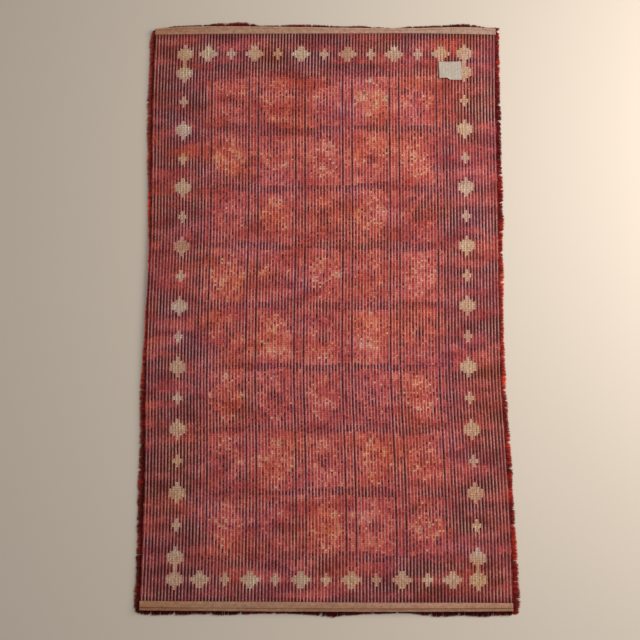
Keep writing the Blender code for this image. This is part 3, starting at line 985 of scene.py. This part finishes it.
def add_tape(name, node, profile, colour, painted_light, crease_painted_shade, material):
    """Tape cloth that follows the CAD tape.

    Profile rows are edge, distance outward, height, ripple and shade. The shade paints shade into the crease,
    where stitch thread and dirt darken it too, and under the foot tape's roll, and paints highlights on the
    inner edge and the roll. The crease's painted shade says how strongly shades under 1 show, and how much
    that changes along the tape.
    """
    rng = np.random.default_rng(len(name))
    rough = read_tape(node)
    count = TAPE_STATIONS
    stations = cubic(rough, np.linspace(0, len(rough) - 1, count))
    outward = np.sign(rough[0, 2])
    crease = np.clip(crease_painted_shade[0] + crease_painted_shade[1] * ripple(rng, 14, np.linspace(0, 12.9, count)), 0, 1)
    # The tape's colour with painted light along it
    colour_with_painted_light = colour * read_tints(painted_light, np.linspace(0, 1, count))
    size = len(profile)
    points = np.empty((count, size, 3))
    colours = np.empty((count, size, 3))
    for k, (edge, distance, height, swing, shade) in enumerate(profile):
        line = stations[:, 1] * (1 - edge) + stations[:, 2] * edge
        sway = ripple(rng, 62, np.linspace(0, 60.9, count)) - 0.5
        pucker = ripple(rng, 182, np.linspace(0, 180.9, count)) - 0.5
        points[:, k, 0] = stations[:, 0]
        points[:, k, 1] = line + outward * (distance + swing * TAPE_SWAY * sway)
        points[:, k, 2] = stations[:, 3] + height + swing * (TAPE_WAVE * sway + TAPE_PUCKER * pucker)
        # Shades under 1 are painted shade, over 1 painted highlight
        strength = crease if shade < 1 else np.ones(count)
        browner = np.array([shade, shade ** 1.2, shade ** 1.45])
        colours[:, k] = colour_with_painted_light * (1 + (browner - 1) * strength[:, None])
    faces = np.column_stack(sleeve_corners(count, size)).tolist()
    faces += [list(reversed(range(size))), [(count - 1) * size + corner for corner in range(size)]]
    if outward < 0:
        faces = [face[::-1] for face in faces]
    return make_piece(name, points.reshape(-1, 3), faces, material, colours.reshape(-1, 3))


def tape_profiles():
    """Profiles of the head tape and the foot tape, each once round from its inner edge."""
    thick = TAPE_THICKNESS
    # The last column paints shade in the crease and under the foot tape's roll, and highlights on the inner
    # edge and the roll
    head = [
        (0, 0, 0, 0, 1),
        (0, 0.0001, thick * 0.7, 0.3, 1),
        (0, 0.0007, thick, 0.5, 1.06),
        (0.35, 0.0, thick * 1.05, 0.6, 1),
        (1, -0.0120, thick * 1.10, 0.6, 1),
        (1, -0.0098, thick * 0.95, 0.4, 0.98),
        (1, -0.0086, thick * 0.45, 0.4, 0.45),
        (1, -0.0074, thick * 0.95, 0.4, 0.90),
        (1, -0.0050, thick * 1.45, 0.8, 1.10),
        (1, -0.0022, thick * 1.20, 0.8, 1.12),
        (1, -0.0004, thick * 0.60, 0.8, 1.02),
        (1, 0.0002, -0.0008, 0.5, 1),
        (1, 0.0, -TAPE_DROP * 0.6, 0.5, 1),
        (1, -0.0003, -TAPE_DROP, 0.4, 1),
        (1, -0.0010, -TAPE_DROP, 0.0, 1),
        (1, -0.0011, 0.0, 0.0, 1),
    ]
    foot = [
        (0, 0, 0, 0, 1),
        (0, 0.0001, thick * 0.7, 0.3, 1),
        (0, 0.0007, thick, 0.5, 1.05),
        (0.35, 0.0, thick * 1.10, 0.5, 1),
        (1, -0.0150, thick * 1.10, 0.5, 1),
        (1, -0.0122, thick * 0.90, 0.3, 0.88),
        (1, -0.0110, thick * 0.20, 0.2, 0.34),
        (1, -0.0098, thick * 0.25, 0.2, 0.38),
        (1, -0.0086, thick * 1.00, 0.4, 0.74),
        (1, -0.0062, thick * 1.65, 0.8, 0.78),
        (1, -0.0038, thick * 1.85, 1.0, 0.84),
        (1, -0.0016, thick * 1.40, 1.0, 0.98),
        (1, -0.0002, thick * 0.40, 0.8, 1.10),
        (1, 0.0004, -TAPE_DROP * 0.35, 0.6, 1),
        (1, -0.0004, -TAPE_DROP * 0.85, 0.5, 1),
        (1, -0.0016, -TAPE_DROP, 0.3, 1),
        (1, -0.0025, -TAPE_DROP * 0.9, 0.0, 1),
        (1, -0.0025, 0.0, 0.0, 1),
    ]
    return head, foot


# Painted light along the tapes, warmer and darker at the left end and paler at the right, as the light falls:
# share of the width, red, green, blue
HEAD_TAPE_PAINTED_LIGHT = (
    (0.0, 0.93, 0.78, 0.68),
    (0.2, 0.96, 0.93, 0.90),
    (0.6, 1.02, 1.03, 1.06),
    (1.0, 0.91, 1.02, 1.17),
)
FOOT_TAPE_PAINTED_LIGHT = (
    (0.0, 1.02, 0.88, 0.76),
    (0.2, 1.00, 1.00, 1.00),
    (0.6, 1.03, 0.99, 1.02),
    (0.8, 1.14, 1.12, 1.20),
    (1.0, 1.06, 1.03, 1.00),
)


def add_stitches(name, node, edge, distance, height, material):
    """A line of small stitches along a tape."""
    rng = np.random.default_rng(len(name) + 7)
    rough = read_tape(node)
    outward = np.sign(rough[0, 2])
    number = int(np.ptp(rough[:, 0]) / STITCH_PITCH)
    t = np.linspace(-0.5, 0.5, len(STITCH_RADII))[None, :]
    length = STITCH_PITCH * rng.uniform(0.50, 0.66, (number, 1))
    at = cubic(rough, (np.arange(number) + 0.5) / number * (len(rough) - 1))
    line = at[:, 1] * (1 - edge) + at[:, 2] * edge + outward * distance
    paths = np.empty((number, len(STITCH_RADII), 3))
    paths[..., 0] = at[:, :1] + t * length
    paths[..., 1] = line[:, None] + t * rng.normal(0, STITCH_SLANT, (number, 1))
    paths[..., 2] = (at[:, 3] + height)[:, None] + STITCH_RISE * (1 - (2 * t) ** 2)
    radii = np.tile(STITCH_RADII, (number, 1))
    return make_tubes(name, paths, radii, None, None, material, sides=5)


# Label

# The curl ends at this share of the width, over this span
CURL_AT = 0.42
CURL_BLEND = 0.025
CURL_DEPTH = 0.0078  # how far it draws the lower edge up
CURL_LIFT = 0.0034
CURL_SHARE = 0.55  # of the label's height
LABEL_CRUMPLE = 0.0005
LABEL_RIPPLE = 0.00022  # from the ribs under it
LABEL_CREASE = 0.0003
LABEL_PROUD = 0.0015  # the most that it stands above the CAD label


def add_label(material):
    """Blank label cloth on the ribs, with a turned hem, soft creases and a curled lower left edge."""
    rng = np.random.default_rng(9)
    low, high = (np.array(corner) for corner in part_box("sewn_label"))
    columns, rows = LABEL_COLUMNS, LABEL_ROWS
    u, v = np.meshgrid(np.linspace(0, 1, columns), np.linspace(0, 1, rows))
    curled = 1 / (1 + np.exp((u - CURL_AT) / CURL_BLEND))
    x = low[0] + (high[0] - low[0]) * u
    foot = low[1] + CURL_DEPTH * curled
    y = foot + (high[1] - foot) * v
    y += 0.0009 * np.sin(7 * u + 1.0) * (v - 0.5) + 0.0006 * (u - 0.5)
    x += 0.0008 * np.sin(5 * v)

    lift = CURL_LIFT * curled * np.clip(1 - v / CURL_SHARE, 0, 1) ** 2
    crumple = smooth_grid(rng.random((9, 9)), np.linspace(0, 7.99, rows), np.linspace(0, 7.99, columns))
    ribs = LABEL_RIPPLE * np.cos(2 * math.pi * x / RIB_PITCH)
    hem = np.exp(-((v - 0.87) / 0.02) ** 2)
    fold = np.exp(-((u + 0.2 * v - 0.62) / 0.03) ** 2)
    crease = LABEL_CREASE * hem + LABEL_CREASE * fold
    z = low[2] + 0.0002 + LABEL_THICKNESS + lift + LABEL_CRUMPLE * (crumple - 0.3) + ribs - crease
    z = np.minimum(z, high[2] + LABEL_PROUD)
    top = np.stack([x, y, z], axis=2).reshape(-1, 3)
    under = top - (0, 0, LABEL_THICKNESS)
    faces = closed_sheet_faces(rows, columns)
    return make_piece("label_cloth", np.concatenate([top, under]), faces, material)


# All pieces together

def build():
    add_camera()
    add_studio()
    add_floor()

    back_wool = yarn_material("back_wool", (1.0, 0.35, 1.0), 900.0, 0.0004, 0.20, 120.0,
                              (0.92, 0.80, 0.80), (1.08, 1.20, 1.20), sheen=0.06, gloss=0.12)
    rib_wool = yarn_material("rib_wool", (1.0, 0.22, 1.0), 1100.0, 0.0003, 0.12, 190.0,
                             (0.78, 0.55, 0.55), (1.22, 1.50, 1.50), sheen=0.06, gloss=0.12)
    pile_wool = yarn_material("pile_wool", (1.0, 1.0, 1.0), 700.0, 0.0004, 0.24, 150.0,
                              (0.85, 0.80, 0.80), (1.15, 1.30, 1.30), sheen=0.0, gloss=0.04)
    tape_cloth = cloth_material("tape_cloth", None, thread_pitch=0.0011, depth=0.0002, wear=0.22)
    label_cloth = cloth_material("label_fabric", LABEL_COLOUR, thread_pitch=0.0007, depth=0.0001, wear=0.10)
    thread = cloth_material("thread", STITCH_COLOUR, thread_pitch=0.0006, depth=0.0001, wear=0.05)

    ground = add_ground(back_wool)
    ribs = add_ribs(rib_wool)
    third = RIBS // 3
    knots = [
        add_knots("knots_left", 1, third + 1, back_wool),
        add_knots("knots_middle", third + 1, 2 * third + 1, back_wool),
        add_knots("knots_right", 2 * third + 1, RIBS, back_wool),
    ]
    edges = [
        add_selvedge("selvedge_left", 0, -1, pile_wool),
        add_selvedge("selvedge_right", RIBS, 1, pile_wool),
    ]
    pile = add_pile(pile_wool)
    rims = add_rim(pile_wool)

    head_profile, foot_profile = tape_profiles()
    head = add_tape("head_tape_cloth", "head_tape", head_profile, HEAD_TAPE_COLOUR, HEAD_TAPE_PAINTED_LIGHT,
                    (0.2, 0.8), tape_cloth)
    foot = add_tape("foot_tape_cloth", "foot_tape", foot_profile, FOOT_TAPE_COLOUR, FOOT_TAPE_PAINTED_LIGHT,
                    (0.5, 0.7), tape_cloth)
    head_stitches = add_stitches("head_stitches", "head_tape", 0.0, 0.0022, 0.00125, thread)
    foot_stitches = add_stitches("foot_stitches", "foot_tape", 0.0, 0.0022, 0.00130, thread)
    crease_stitches = add_stitches("crease_stitches", "foot_tape", 1.0, -0.0099, 0.00045, thread)
    label = add_label(label_cloth)

    for node, slot, pieces in (
        ("woven_rug", "wool", (ground, ribs, *knots, *edges, pile, *rims)),
        ("head_tape", "tape", (head, head_stitches)),
        ("foot_tape", "tape", (foot, foot_stitches, crease_stitches)),
        ("sewn_label", "label", (label,)),
    ):
        for piece in pieces:
            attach(piece, "root")
            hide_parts(node)


build()
